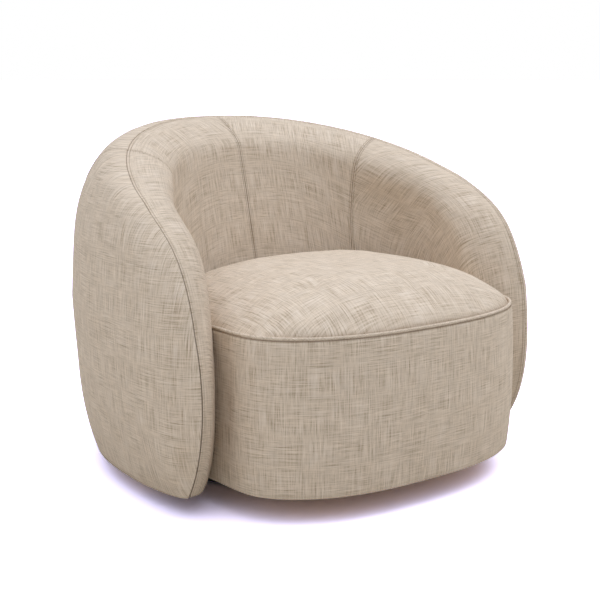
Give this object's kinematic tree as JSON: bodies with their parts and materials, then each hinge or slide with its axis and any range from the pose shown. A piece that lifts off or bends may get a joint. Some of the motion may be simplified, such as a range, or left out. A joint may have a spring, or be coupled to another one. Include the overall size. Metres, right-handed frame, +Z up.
{
  "type": "swivel barrel chair",
  "caption": "Fabric covered barrel armchair with a wraparound back and crowned tight seat, turning on a hidden ball bearing swivel over a round plinth.",
  "frame": {"origin": "on the floor, at the swivel axis, below the middle of the chair", "axes": "+Z up along the swivel axis, the chair faces -Y, +X to the right when seen from the front"},
  "size_m": [0.9206, 0.8955, 0.6907],
  "materials": {
    "linen": "oatmeal slub linen weave, matt",
    "plywood": "raw birch plywood, sanded",
    "black_lacquer": "satin black",
    "glide_felt": "pressed felt",
    "foam": "open cell foam",
    "felt": "needled felt",
    "strap": "woven elastic",
    "nylon": "moulded",
    "spring_steel": "drawn wire, dark",
    "zinc_steel": "zinc plated"
  },
  "bodies": {
    "base": {"plinth": "black_lacquer", "floor_glides": "glide_felt", "lower_swivel_plate": "zinc_steel", "lower_plate_screws": "zinc_steel", "pivot_bolt": "zinc_steel", "pivot_washer": "zinc_steel", "pivot_nut": "zinc_steel"},
    "ball_ring": {"ball_cage": "nylon", "bearing_balls": "zinc_steel"},
    "chair": {"upper_swivel_plate": "zinc_steel", "upper_plate_bolts": "zinc_steel", "base_board": "plywood", "lower_rail": "plywood", "middle_rail": "plywood", "top_rail_left": "plywood", "top_rail_right": "plywood", "back_ribs": "plywood", "arm_frame_left": "plywood", "arm_frame_right": "plywood", "arm_ribs_left": "plywood", "arm_ribs_right": "plywood", "front_panel": "plywood", "seat_posts": "plywood", "seat_ring": "plywood", "seat_springs": "spring_steel", "spring_clips": "zinc_steel", "spring_felt": "felt", "seat_foam": "foam", "seat_crown": "linen", "seat_welt": "linen", "seat_band": "linen", "back_straps": "strap", "inner_back_left": "linen", "inner_back_right": "linen", "inner_arm_left": "linen", "inner_arm_right": "linen", "outer_back": "linen", "outer_arm_left": "linen", "outer_arm_right": "linen"}
  },
  "joints": [
    {"name": "swivel", "type": "hinge", "parent": "base", "child": "chair", "pos_m": [0, 0, 0.038], "axis": [0, 0, 1], "continuous": true},
    {"name": "ball_roll", "type": "hinge", "parent": "base", "child": "ball_ring", "pos_m": [0, 0, 0.038], "axis": [0, 0, 1], "continuous": true}
  ],
  "couplings": [
    {"joint": "ball_roll", "follows": "swivel", "ratio": 0.5}
  ]
}
